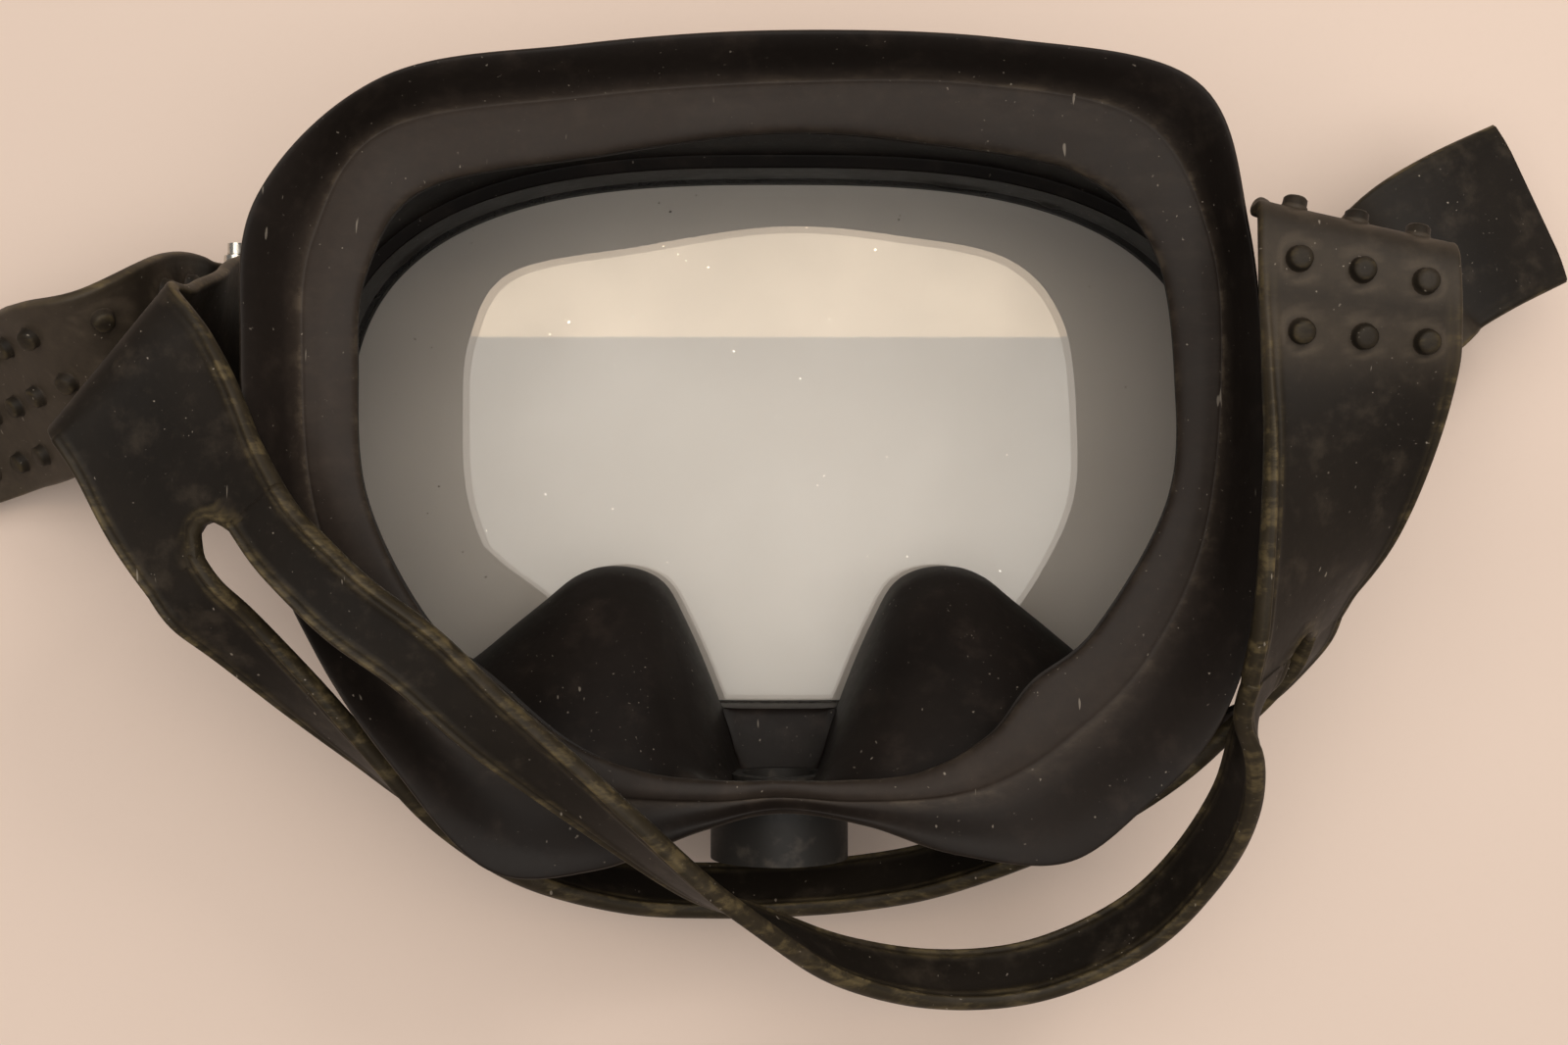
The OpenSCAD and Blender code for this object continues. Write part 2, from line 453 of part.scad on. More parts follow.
skirt();
lens();
lens_band();
clamp_screw();
clamp_nut();
purge_body();
purge_seat();
purge_flap();
on_left() bracket();  // left_bracket
on_left() hinge_pin();  // left_hinge_pin
on_left() buckle();  // left_buckle
on_left() roller();  // left_roller
bracket();  // right_bracket
hinge_pin();  // right_hinge_pin
buckle();  // right_buckle
roller();  // right_roller
left_tongue();
right_tongue();
band(band_path(FRONT_MIDDLE, -1));  // front_strap_band
band(band_path(REAR_MIDDLE, 1));  // rear_strap_band
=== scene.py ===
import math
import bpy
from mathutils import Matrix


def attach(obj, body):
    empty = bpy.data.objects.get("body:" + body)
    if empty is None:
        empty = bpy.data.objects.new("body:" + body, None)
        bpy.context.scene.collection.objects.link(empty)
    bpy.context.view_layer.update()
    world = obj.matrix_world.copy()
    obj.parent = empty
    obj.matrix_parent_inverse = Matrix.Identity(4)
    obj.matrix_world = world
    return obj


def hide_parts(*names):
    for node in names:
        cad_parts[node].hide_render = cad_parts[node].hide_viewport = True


bl_info = {
    "name": "Diving mask",
    "version": (1, 0, 0),
    "blender": (4, 5, 0),
    "location": "3D View > Sidebar > Mask",
    "description": "Builds a rubber diving mask: skirt, lens, purge valve, buckles and studded strap",
    "category": "Object",
}

import bmesh
import bpy
import numpy as np
from mathutils import Matrix, Vector

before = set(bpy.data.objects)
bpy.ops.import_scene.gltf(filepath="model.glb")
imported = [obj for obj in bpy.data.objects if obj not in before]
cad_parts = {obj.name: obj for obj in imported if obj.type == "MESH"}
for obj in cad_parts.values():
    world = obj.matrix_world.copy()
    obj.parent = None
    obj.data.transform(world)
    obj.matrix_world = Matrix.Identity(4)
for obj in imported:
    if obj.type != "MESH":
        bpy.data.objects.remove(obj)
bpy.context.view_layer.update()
MM = 0.001

# ------------------------------------------------------------------ curves shared by the pieces


def smooth(v):
    """Smoothstep: 3v^2 - 2v^3, with v held between 0 and 1."""
    v = np.clip(v, 0, 1)
    return v * v * (3 - 2 * v)


def bump(v, centre, width):
    """Bell of height 1: exp(-((v - centre) / width)^2)."""
    return np.exp(-(((v - centre) / width) ** 2))


def spline(p, steps, closed=False, sharp=()):
    """Catmull-Rom curve through the rows of p, steps points to a segment. A row in sharp is a corner:
    its neighbours' pull on the curve is taken away, by repeating the row itself."""
    p = np.asarray(p, float)
    m = len(p)
    i = np.arange(m if closed else m - 1)
    before, after, later = (i - 1) % m, (i + 1) % m, (i + 2) % m
    if not closed:
        before, later = np.maximum(i - 1, 0), np.minimum(i + 2, m - 1)
    corner = np.isin(np.arange(m), np.asarray(sharp, int) % m if len(sharp) else [-1])
    before = np.where(corner[i], i, before)
    later = np.where(corner[after], after, later)
    shape = (len(i), 1) + (1,) * (p.ndim - 1)
    f = (np.arange(steps) / steps).reshape((1, steps) + (1,) * (p.ndim - 1))
    a, b, c, d = (p[k].reshape((len(i), 1) + p.shape[1:]) for k in (before, i, after, later))
    out = 0.5 * (2 * b + (c - a) * f + (2 * a - 5 * b + 4 * c - d) * f**2 + (3 * b - a - 3 * c + d) * f**3)
    out = out.reshape((len(i) * steps,) + p.shape[1:])
    return out if closed else np.concatenate([out, p[-1:]])


def unit(v):
    return v / np.linalg.norm(v, axis=-1, keepdims=True)


# ------------------------------------------------------------------ meshes


def quads(rows, cols, wrap_rows=False, wrap_cols=False):
    """Faces of a grid of rows x cols points, which may close on itself either way."""
    r = np.arange(rows if wrap_rows else rows - 1)[:, None]
    c = np.arange(cols if wrap_cols else cols - 1)[None, :]
    r2, c2 = (r + 1) % rows, (c + 1) % cols
    return np.stack([r * cols + c, r * cols + c2, r2 * cols + c2, r2 * cols + c], -1).reshape(-1, 4)


def volume(points, faces):
    """Signed volume of a closed mesh of quads: the sum of its corners' triple products over six."""
    a, b, c, d = (points[faces[:, k]] for k in range(4))
    return (np.einsum("ij,ij->i", a, np.cross(b, c)) + np.einsum("ij,ij->i", a, np.cross(c, d))).sum() / 6


def mesh_object(name, shells, attributes=None, crease=None):
    """One object from closed shells of [points in mm, quads], each turned so that it faces outwards.
    Doubled points are merged, and edges sharper than crease degrees are kept hard."""
    points, faces, start = [], [], 0
    for p, f in shells:
        f = f if volume(p, f) > 0 else f[:, ::-1]
        points.append(p)
        faces.append(f + start)
        start += len(p)
    points, faces = np.concatenate(points), np.concatenate(faces)
    mesh = bpy.data.meshes.new(name)
    mesh.from_pydata((points * MM).tolist(), [], faces.tolist())
    for key, value in (attributes or {}).items():
        layer = mesh.attributes.new(key, "FLOAT", "POINT")
        layer.data.foreach_set("value", np.concatenate(value).astype(np.float32))
    bm = bmesh.new()
    bm.from_mesh(mesh)
    bmesh.ops.remove_doubles(bm, verts=bm.verts, dist=2e-6)
    bmesh.ops.dissolve_degenerate(bm, dist=1e-7, edges=bm.edges)
    bm.to_mesh(mesh)
    bm.free()
    mesh.shade_smooth()
    if crease:
        mesh.set_sharp_from_angle(angle=math.radians(crease))
    made = bpy.data.objects.new(name, mesh)
    bpy.context.scene.collection.objects.link(made)
    return made


def lathe(profile, place, along, across, sides):
    """Solid of revolution: profile rows are [radius, height]; the angle runs round the axis, and the
    ends lie on the axis. place is its foot, along its axis and across any direction off it."""
    angle = np.arange(sides) * 2 * math.pi / sides
    third = np.cross(along, across)
    ring = np.cos(angle)[:, None] * across + np.sin(angle)[:, None] * third
    p = place + profile[:, None, 0:1] * ring[None] + profile[:, None, 1:2] * along
    return p.reshape(-1, 3), quads(len(profile), sides, wrap_cols=True)


# ------------------------------------------------------------------ material nodes


class Term:
    """A socket in a material being built. Arithmetic on it adds Math nodes."""

    def __init__(self, paint, socket):
        self.paint, self.socket = paint, socket

    def math(self, operation, *others):
        values = {0: self, **{i + 1: o for i, o in enumerate(others)}}
        return self.paint.add("ShaderNodeMath", {"operation": operation}, values)

    def __add__(self, other):
        return self.math("ADD", other)

    def __mul__(self, other):
        return self.math("MULTIPLY", other)

    def __sub__(self, other):
        return self.math("SUBTRACT", other)

    def __rsub__(self, other):
        return self.paint.add("ShaderNodeMath", {"operation": "SUBTRACT"}, {0: other, 1: self})

    __radd__, __rmul__ = __add__, __mul__

    def ramp(self, low, high, to_low=0.0, to_high=1.0):
        """Smoothstep from low to high, mapped to to_low and to_high."""
        return self.paint.add(
            "ShaderNodeMapRange",
            {"interpolation_type": "SMOOTHSTEP"},
            {"Value": self, "From Min": low, "From Max": high, "To Min": to_low, "To Max": to_high},
        )


class Paint:
    """A procedural material, and the one method that adds its nodes."""

    def __init__(self, name):
        self.material = bpy.data.materials.new(name)
        self.material.use_nodes = True
        self.tree = self.material.node_tree
        self.tree.nodes.clear()
        self.place = self.add("ShaderNodeTexCoord", output="Object")

    def add(self, kind, settings=None, inputs=None, output=0):
        node = self.tree.nodes.new(kind)
        for key, value in (settings or {}).items():
            setattr(node, key, value)
        for key, value in (inputs or {}).items():
            if isinstance(value, Term):
                self.tree.links.new(value.socket, node.inputs[key])
            else:
                node.inputs[key].default_value = value
        return Term(self, node.outputs[output]) if node.outputs else None

    def noise(self, size_mm, detail=3.0, rough=0.55, place=None):
        inputs = {
            "Vector": place or self.place, "Scale": 1000 / size_mm,
            "Detail": detail, "Roughness": rough}
        return self.add("ShaderNodeTexNoise", None, inputs)

    def stretched(self, x, y, z):
        """Object coordinates, scaled by x, y and z along their axes."""
        return self.add("ShaderNodeMapping", None, {"Vector": self.place, "Scale": (x, y, z)})

    def attribute(self, name):
        return self.add("ShaderNodeAttribute", {"attribute_name": name}, output="Fac")

    def mix(self, factor, a, b):
        """Colour a where factor is 0 and colour b where it is 1."""
        inputs = {"Factor": factor, 6: a, 7: b}
        return self.add("ShaderNodeMix", {"data_type": "RGBA"}, inputs, output=2)

    def bump(self, height, strength, distance_mm, normal=None):
        inputs = {"Height": height, "Strength": strength, "Distance": distance_mm * MM}
        if normal:
            inputs["Normal"] = normal
        return self.add("ShaderNodeBump", None, inputs)

    def finish(self, **inputs):
        names = {key.replace("_", " "): value for key, value in inputs.items()}
        shader = self.add("ShaderNodeBsdfPrincipled", None, names)
        self.add("ShaderNodeOutputMaterial", None, {"Surface": shader})
        return self.material


def rgb(colour):
    return (*colour[:3], 1.0)


def rubber(name, base, bloom, polish_and_highlight, gloss, dusty):
    """Aged black rubber: mottled charcoal with a brownish bloom, dust specks and short fibres, and an
    olive colour where the wear attribute is high: worn polish, and painted highlight on beads, edges and
    creases."""
    p = Paint(name)
    broad = p.noise(22, 4).ramp(0.35, 0.7)
    fine = p.noise(1.6, 5, 0.65)
    cloud = p.noise(7, 5, 0.6).ramp(0.5, 0.78)
    wear_and_highlight = p.attribute("wear_and_highlight")
    dust = p.attribute("dust")
    speck = p.noise(0.75, 1.0).ramp(0.735, 0.8) * p.noise(9, 2).ramp(0.42, 0.62)
    fibre = p.noise(1.1, 1.0, place=p.stretched(1.0, 0.16, 1.0)).ramp(0.765, 0.8)
    streak = p.noise(3.2, 4, 0.7, place=p.stretched(0.35, 1.0, 1.0)).ramp(0.46, 0.66)
    colour = p.mix(broad * 0.75, rgb(base), rgb([c * 1.7 for c in base]))
    colour = p.mix(cloud * 0.5 * dusty + fine.ramp(0.55, 0.75) * 0.12 * dusty, colour, rgb(bloom))
    # Paler bloom where the dust attribute is high: real dust round the studs and on the flange, and a painted
    # highlight on the left tongue's far end.
    colour = p.mix(dust * (fine * 0.7 + 0.45), colour, rgb([c * 1.25 for c in bloom]))
    # Olive where the wear attribute is high: worn polish, and painted highlights along the strap's edges and
    # beads and on the skirt's rim, crease and lip.
    colour = p.mix(wear_and_highlight * (streak * 0.75 + 0.2), colour, rgb(polish_and_highlight))
    colour = p.mix((speck * 0.75 + fibre * 0.5) * dusty, colour, (0.34, 0.29, 0.235, 1))
    rough = gloss + fine * 0.16 + broad * 0.06 - wear_and_highlight * 0.06
    relief = p.bump(fine, 0.28, 0.06)
    relief = p.bump(p.noise(6, 3), 0.35, 0.25, relief)
    return p.finish(Base_Color=colour, Roughness=rough, Normal=relief, Specular_IOR_Level=0.16)


def metal(name, base, rough, grain_mm, tarnish):
    """Worn plated steel: brushed grain, and stains that are browner and duller."""
    p = Paint(name)
    grain = p.noise(grain_mm, 4, 0.7, place=p.stretched(0.12, 0.12, 1.0))
    stain = p.noise(5, 5, 0.65).ramp(0.5, 0.72)
    colour = p.mix(grain * 0.35, rgb(base), rgb([c * 0.72 for c in base]))
    colour = p.mix(stain * tarnish, colour, (0.23, 0.17, 0.11, 1))
    return p.finish(
        Base_Color=colour,
        Metallic=1.0 - stain * tarnish * 0.6,
        Roughness=rough + grain * 0.14 + stain * 0.3,
        Normal=p.bump(grain, 0.2, 0.03),
    )


def moulded(name, base, rough):
    """Moulded plastic: an even dark colour with a fine mould texture and patches of dust."""
    p = Paint(name)
    fine = p.noise(0.9, 4, 0.6)
    dust = p.noise(4, 4).ramp(0.52, 0.75) * 0.35
    colour = p.mix(dust, rgb(base), (0.12, 0.10, 0.08, 1))
    return p.finish(Base_Color=colour, Roughness=rough + fine * 0.2, Normal=p.bump(fine, 0.2, 0.05),
                    Specular_IOR_Level=0.2)


def clear_glass(name):
    """Clear flat glass: see-through, with a Fresnel reflection, faint haze and dust specks."""
    p = Paint(name)
    haze = p.noise(35, 4).ramp(0.4, 0.75)
    speck = p.noise(1.1, 1.0).ramp(0.775, 0.81) * p.noise(14, 2).ramp(0.45, 0.6)
    through = p.add("ShaderNodeBsdfTransparent", None, {"Color": (0.88, 0.915, 0.93, 1)})
    gloss = p.add("ShaderNodeBsdfPrincipled", None, {
        "Base Color": (0.84, 0.78, 0.72, 1), "Roughness": 0.012, "Metallic": 1.0})
    facing = p.add("ShaderNodeFresnel", None, {"IOR": 1.5})
    surface = p.add("ShaderNodeMixShader", None, {0: facing * 0.9 + haze * 0.02 + speck * 0.6 + 0.03,
                                                 1: through, 2: gloss})
    p.add("ShaderNodeOutputMaterial", None, {"Surface": surface})
    return p.material


def tabletop(name, base):
    """Painted tabletop: a warm pale colour with a soft broad mottle and a very fine grain."""
    p = Paint(name)
    broad, fine = p.noise(180, 3), p.noise(1.2, 3)
    colour = p.mix(broad.ramp(0.35, 0.7) * 0.5, rgb(base), rgb([c * 0.94 for c in base]))
    colour = p.mix(fine.ramp(0.5, 0.8) * 0.1, colour, rgb([c * 0.9 for c in base]))
    return p.finish(Base_Color=colour, Roughness=0.62 + fine * 0.1)


# ------------------------------------------------------------------ skirt

ANCHORS = [0, 7, 14.5, 24, 36, 52, 72, 92, 112, 132, 156, 180,
           204, 228, 248, 268, 288, 308, 324, 336, 345.5, 353]
RIM = [[0, -62, 52], [14, -64, 53], [28, -68, 56], [45, -69, 59], [57, -60, 62], [68, -47, 65],
       [73.5, -28, 68], [74.5, 0, 69], [72.5, 30, 67], [65, 53.5, 64], [36, 60.5, 62], [0, 62, 61],
       [-32, 59.5, 62], [-62, 54, 64], [-80.5, 35, 67], [-82.5, 12, 69], [-80, -14, 69], [-71, -36, 67],
       [-60.5, -53, 63], [-46, -70, 59], [-29, -70.5, 56], [-13, -65, 53]]
CREASE = [[0, -60, 50], [12, -60.5, 51], [26, -59.5, 53], [36, -56.5, 54], [46, -50, 55], [58, -38, 56],
          [67, -19, 58], [70, 6, 59], [68.5, 30, 58], [58, 49, 56], [32, 55, 55], [0, 55.5, 54],
          [-31, 53, 55], [-63, 47.5, 56], [-74, 30, 58], [-75.5, 10, 59], [-73.5, -14, 58], [-65, -35, 56],
          [-54, -49, 55], [-40, -57, 54], [-26, -59.5, 53], [-11, -60.5, 51]]
LIP = [[0, -57.5, 51], [10, -57.5, 51], [23, -56, 52], [34, -50, 54], [41, -41.5, 55], [51, -33, 56],
       [62, -13, 58], [63.5, 6, 58], [60.5, 28, 57], [49, 41, 55], [26, 46, 54], [0, 48, 54],
       [-30, 44, 55], [-57, 38.5, 56], [-66, 25, 58], [-67.5, 8, 58], [-66, -12, 58], [-57, -31, 56],
       [-46, -41, 55], [-34, -51, 54], [-22, -56, 52], [-9, -57.5, 51]]
STEPS = 16
HALF_W, TOP, BOTTOM = 84.0, 52.0, 51.5
FRONT, SEAT, SEAT_TOP, FOOT, HEAD = -2.0, 0.6, 10.6, 14.1, 52.0
FLOOR, WELL_TOP = BOTTOM + 11.5, 26.5
LENS_T, GROOVE_TOP, LIP_W = 4.8, 7.3, 3
TURNS = np.radians(np.interp(
    np.arange(len(ANCHORS) * STEPS) / STEPS, np.arange(len(ANCHORS) + 1), ANCHORS + [360]))


def egg(a, top, bottom, power=2.8):
    """Superellipse x = a sin(t)^(2/n), y = -h cos(t)^(2/n), where h is bottom below and top above."""
    s, c = np.sin(TURNS), np.cos(TURNS)
    x = a * np.sign(s) * np.abs(s) ** (2 / power)
    y = -np.where(c > 0, bottom, top) * np.sign(c) * np.abs(c) ** (2 / power)
    return np.stack([x, y], -1)


def at_height(outline, z):
    """The flat outline as points at height z, which is one number or one for each point."""
    return np.concatenate([outline, np.broadcast_to(np.asarray(z, float), (len(outline),))[:, None]], -1)


def front(grow, z):
    """Outline of the lens, grown by grow, at height z."""
    return at_height(egg(HALF_W + grow, TOP + grow, BOTTOM + grow), z)


WELL = spline([[0, 0], [6, 0], [8.5, 0.07], [11, 0.3], [14.5, 0.55], [18, 0.76], [21.5, 0.93], [26, 1],
               [31, 0.995], [36, 0.92], [41, 0.78], [47, 0.6], [54, 0.37], [61, 0.15], [68, 0.02],
               [74, 0], [90, 0]], 12)


def well(x, grow=0.0):
    """How far a finger well lifts the wall at x: a thumb shape, steep towards the nose and long outwards,
    widened by grow on both flanks."""
    x = np.abs(x)
    return np.interp(x + grow * np.tanh((28.5 - x) / 5), WELL[:, 0], WELL[:, 1])


def wall(z, inset):
    """Skirt wall at height z: the front outline blends to the rim's, the nose pocket hangs below, and the
    wells lift its lower half by FLOOR - WELL_TOP, times 1 - f^1.5. f runs from 0 at FOOT to 1 at HEAD."""
    f = (z - FOOT) / (HEAD - FOOT)
    lean = float(smooth(f))
    p = egg(HALF_W + 1 + (75 - HALF_W - 1) * lean - inset, TOP + 1.5 + 4 * lean - inset, FLOOR - inset,
            2.8 + 0.7 * lean)
    x, low = p[:, 0], np.cos(TURNS) > 0
    part = 1 - max(0.0, f) ** 1.5
    lift = np.where(low, (FLOOR - WELL_TOP) * part * well(x, inset / 2), 0)
    dip = np.where(low, 1 - smooth(np.abs(x) / 34), 0)
    return np.stack([x - 2.5 * lean, p[:, 1] + lift, z - 5 * lean * dip], -1)


def skirt_profile():
    """Rings from the front lip, over the band's seat, the outer wall, the flared rim, the crease and the
    inner lip, and back down the inner wall to the lens groove. The last ring joins the first."""
    rim, crease, lip = (spline(p, STEPS, closed=True) for p in (RIM, CREASE, LIP))
    thick, skin = 1.6, 2.2
    out = unit(rim[:, :2] - crease[:, :2])
    bulge = np.concatenate([out * 0.7, np.zeros((len(out), 1))], -1)
    inward = unit(lip[:, :2] - crease[:, :2])
    nose = np.concatenate([inward * 0.6, np.zeros((len(out), 1))], -1)
    down = np.array([0, 0, -1.0])
    rings, corners = [], []

    def ring(p, corner=False):
        if corner:
            corners.append(len(rings))
        rings.append(p)

    ring(front(-LIP_W, FRONT), True)
    ring(front(2.0, FRONT), True)
    ring(front(2.8, FRONT + 0.35))
    ring(front(3, FRONT + 1.0), True)
    ring(front(3, SEAT - 0.15), True)
    ring(front(2.8, SEAT), True)
    ring(front(2.2, SEAT), True)
    ring(front(2.2, SEAT_TOP), True)
    ring(front(2.9, SEAT_TOP), True)
    ring(front(3.1, SEAT_TOP + 0.3))
    ring(front(3.1, SEAT_TOP + 1.5))
    ring(front(2.2, SEAT_TOP + 2.1), True)
    for f in (0.0, 0.08, 0.18, 0.32, 0.48, 0.66, 0.84, 1.0):
        ring(wall(FOOT + f * (HEAD - FOOT), 0), f == 0)
    ring(wall(HEAD, 0) * 0.45 + (rim + 2 * down) * 0.55)
    ring(rim + thick * down - bulge * 0.6)
    ring(rim + 0.75 * thick * down + bulge * 0.6)
    ring(rim + 0.3 * thick * down + bulge * 0.6)
    ring(rim - bulge * 0.3)
    ring(rim * 0.72 + crease * 0.28 - 0.5 * down)
    ring(rim * 0.35 + crease * 0.65 + 0.5 * down)
    ring(rim * 0.06 + crease * 0.94 + 0.35 * down)
    ring(crease * 0.93 + lip * 0.07 - 0.2 * down)
    ring(crease * 0.55 + lip * 0.45 - 0.55 * down)
    ring(crease * 0.12 + lip * 0.88 - 0.25 * down)
    ring(lip + nose * 0.4 + 0.3 * thick * down)
    ring(lip + nose * 0.4 + 0.75 * thick * down)
    ring(lip + thick * down - nose * 0.6)
    ring(wall(HEAD, skin) * 0.6 + (crease + 2 * thick * down) * 0.4)
    for f in (0.84, 0.66, 0.48, 0.32, 0.2, 0.1):
        ring(wall(FOOT + f * (HEAD - FOOT), skin))
    foot = wall(FOOT, skin)
    sunk = np.where(foot[:, 1] < 0, well(foot[:, 0], skin / 2), 0)
    foot[:, 2] += skin * (1 - 2 * sunk)
    edge = front(-LIP_W, SEAT_TOP + 2)
    sunk = np.where(edge[:, 1] < 0, well(edge[:, 0]), 0)
    edge[:, 2] += skin * (1 - 2 * sunk)
    for f in (0, 0.12, 0.88, 1.0):
        ring(foot * (1 - f) + edge * f)
    t = TURNS * 180 / math.pi
    nick = 0.35 * (np.sin(t * 2.9) * np.sin(t * 1.13 + 1) * np.sin(t * 0.37)) ** 2 + 0.45 * bump(t, 163, 4) \
        + 0.8 * bump(t, 149, 1.2) + 0.5 * bump(t, 232, 5)
    ragged = at_height(egg(81, 49, 48.5) - unit(egg(81, 49, 48.5)) * nick[:, None], 5.4)
    ring(front(-LIP_W, GROOVE_TOP), True)
    ring(ragged, True)
    ring(front(-LIP_W, LENS_T), True)
    ring(front(0, LENS_T), True)
    ring(front(0, 0), True)
    ring(front(-LIP_W, 0), True)
    return np.array(rings), corners


class MaskSkirt(bpy.types.PropertyGroup):
    base: bpy.props.FloatVectorProperty(
        name="Rubber", description="Colour of the skirt's rubber", subtype="COLOR",
        default=(0.0068, 0.0047, 0.0036))
    bloom: bpy.props.FloatVectorProperty(
        name="Bloom", description="Colour of the bloom on the rubber", subtype="COLOR",
        default=(0.038, 0.027, 0.0205))
    section_steps: bpy.props.IntProperty(
        name="Steps", description="Rings between two rings of the skirt's section", default=4, min=1, max=8)


class MASK_OT_skirt(bpy.types.Operator):
    """Build the one-piece rubber skirt"""

    bl_idname = "mask.skirt"
    bl_label = "Rubber skirt"

    def execute(self, context):
        size = context.scene.mask_skirt
        rings, corners = skirt_profile()
        n = size.section_steps
        points = spline(rings, n, closed=True, sharp=corners)
        row = np.arange(len(points)) / n
        # Olive rows on the rim's outer edge, along the crease and on the lip's edge: painted highlight lines
        # with some worn polish. The dust rows lie on the flange's top.
        wear_and_highlight = np.interp(row, [20, 21, 23, 24, 26, 26.7, 27, 27.4, 30, 31, 32, 33],
                         [0, 0.35, 0.5, 0.0, 0.0, 0.25, 0.75, 0.1, 0.05, 0.6, 0.2, 0])
        dust = np.interp(row, [21, 23, 24, 26, 27, 29, 31, 33], [0, 0.2, 0.1, 0.15, 0.5, 0.6, 0.4, 0])
        cols = points.shape[1]
        around = np.arange(cols)[None, :] * 2 * math.pi / cols
        wear_and_highlight = wear_and_highlight[:, None] * (0.7 + 0.3 * np.sin(3 * around + 1)) * np.ones((1, cols))
        dust = dust[:, None] * (0.75 + 0.25 * np.sin(2 * around)) * np.ones((1, cols))
        faces = quads(len(points), cols, True, True)
        made = mesh_object("rubber_skirt", [(points.reshape(-1, 3), faces)],
                           {"wear_and_highlight": [wear_and_highlight.ravel()], "dust": [dust.ravel()]}, crease=50)
        # The third colour is the olive of worn polish and painted highlight.
        finish = rubber("skirt_rubber", size.base, size.bloom, (0.095, 0.072, 0.05), 0.45, 0.8)
        made.data.materials.append(finish)
        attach(made, "mask")
        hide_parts("skirt")
        return {"FINISHED"}


# ------------------------------------------------------------------ strap

BAR_X, LOOP_R, BUCKLE_Y, HINGE_Z = 100.6, 4.8, 18.0, 5.6
STRAP_W, STRAP_T, BAND_W, BAND_OFFSET, SLOT_R = 31, 2.2, 12, 9.5, 3.5
STUD_PITCH, STUD_SIDES = 9.6, 16
STUD_PLACES = (-STUD_PITCH, 0, STUD_PITCH)
END_ARCH, END_FADE, SLOT_FADE, EDGE_R = 1.6, 12, 9, 0.6
LEFT_TONGUE = [[-174, -1.5, -0.4, -0.1, -1, 0], [-163, 0.5, 0.2, -0.1, -1, 0],
               [-155, 2, 4.5, -0.1, -0.95, -0.3],
               [-147, 3.5, 10, -0.1, -0.82, -0.52], [-140, 5, 16, -0.1, -0.76, -0.6],
               [-134, 6, 22, -0.1, -0.75, -0.62], [-127, 7.5, 30, -0.1, -0.73, -0.64],
               [-120, 9.5, 36, -0.1, -0.72, -0.66], [-113, 11.5, 38, -0.05, -0.74, -0.64],
               [-107.5, 14.5, 34, 0, -0.87, -0.45], [-105.6, 17, 24, 0, -1, -0.1],
               [-BAR_X - LOOP_R, BUCKLE_Y, 13, 0, -1, 0]]
LEFT_RETURN = [[-BAR_X + LOOP_R, BUCKLE_Y, 13, 0, -1, 0], [-95.9, 16, 24, -0.08, -1, 0],
               [-97.2, 13, 35, -0.25, -0.97, 0], [-99.2, 11.3, 46, -0.45, -0.9, -0.1],
               [-101.6, 10.3, 54.3, -0.6, -0.79, -0.12], [-103, 10.1, 59.3, -0.66, -0.745, -0.12],
               [-104, 10.4, 62.3, -0.66, -0.745, -0.12], [-103.4, 9.4, 65.3, -0.66, -0.745, -0.12],
               [-101.4, 7.2, 66.6, -0.66, -0.745, -0.12], [-99.3, 4.2, 66.9, -0.67, -0.74, -0.14],
               [-96.3, -0.8, 67.4, -0.69, -0.7, -0.18], [-91.6, -10.3, 68.4, -0.71, -0.65, -0.26],
               [-86, -18.8, 69.6, -0.73, -0.6, -0.36]]
RIGHT_WIDE = [[81.2, -35.5, 59.5, 0.49, -0.07, -0.87], [82.4, -28.8, 63.7, 0.61, 0, -0.79],
              [85, -16.9, 68.8, 0.81, 0, -0.58], [87, -2, 73, 0.94, 0, -0.33],
              [87.4, 9, 75.6, 0.99, -0.05, -0.12], [87, 16, 77, 0.99, -0.1, -0.05],
              [86.8, 21, 77.4, 0.985, -0.16, -0.02], [86.8, 25, 77, 0.975, -0.2, 0],
              [87, 28, 75.8, 0.975, -0.22, 0], [87.3, 29.2, 72.8, 0.975, -0.22, 0],
              [87, 28, 69.8, 0.955, -0.29, 0], [87, 26.2, 65, 0.84, -0.54, -0.06],
              [88.4, 23.6, 57.5, 0.7, -0.71, -0.1], [91.6, 21.3, 46, 0.5, -0.86, -0.1],
              [94.4, 19.5, 34, 0.3, -0.95, -0.05], [95.7, 18.5, 23, 0.05, -1, 0],
              [BAR_X - LOOP_R, BUCKLE_Y, 13, 0, -1, 0]]
RIGHT_TAIL = [[BAR_X + LOOP_R, BUCKLE_Y, 12, 0, -1, 0], [106.8, 20.2, 18.5, 0.04, -1, 0],
              [108.6, 25.5, 24, 0.3, -0.95, 0], [113, 30.8, 26.4, 0.42, -0.9, 0],
              [122, 36.2, 25, 0.42, -0.9, 0],
              [134, 41.9, 20, 0.42, -0.9, 0]]
FRONT_MIDDLE = [[-73.6, -20, 74.8, -0.7, -0.64, -0.3], [-64.5, -28.6, 75.8, -0.66, -0.7, -0.25],
                [-55, -35.5, 75.3, -0.64, -0.7, -0.3], [-44.5, -45.5, 73.5, -0.6, -0.65, -0.42],
                [-34.5, -54, 70.5, -0.55, -0.55, -0.6], [-23.6, -63.5, 66.5, -0.45, -0.4, -0.8],
                [-11.7, -74, 60, -0.25, -0.2, -0.93], [-1, -81.5, 50.5, 0, 0.05, -1],
                [11, -88.5, 42.5, 0, 0.4, -0.9], [27, -92.6, 36.5, -0.05, 0.6, -0.8],
                [44, -91.5, 34.5, -0.2, 0.62, -0.75], [60, -84, 36, -0.4, 0.5, -0.77],
                [69.5, -73.5, 40.5, -0.4, 0.3, -0.87], [74.4, -60.5, 50.5, -0.25, 0.05, -0.95],
                [74.6, -47.5, 59, 0.1, 0, -1]]
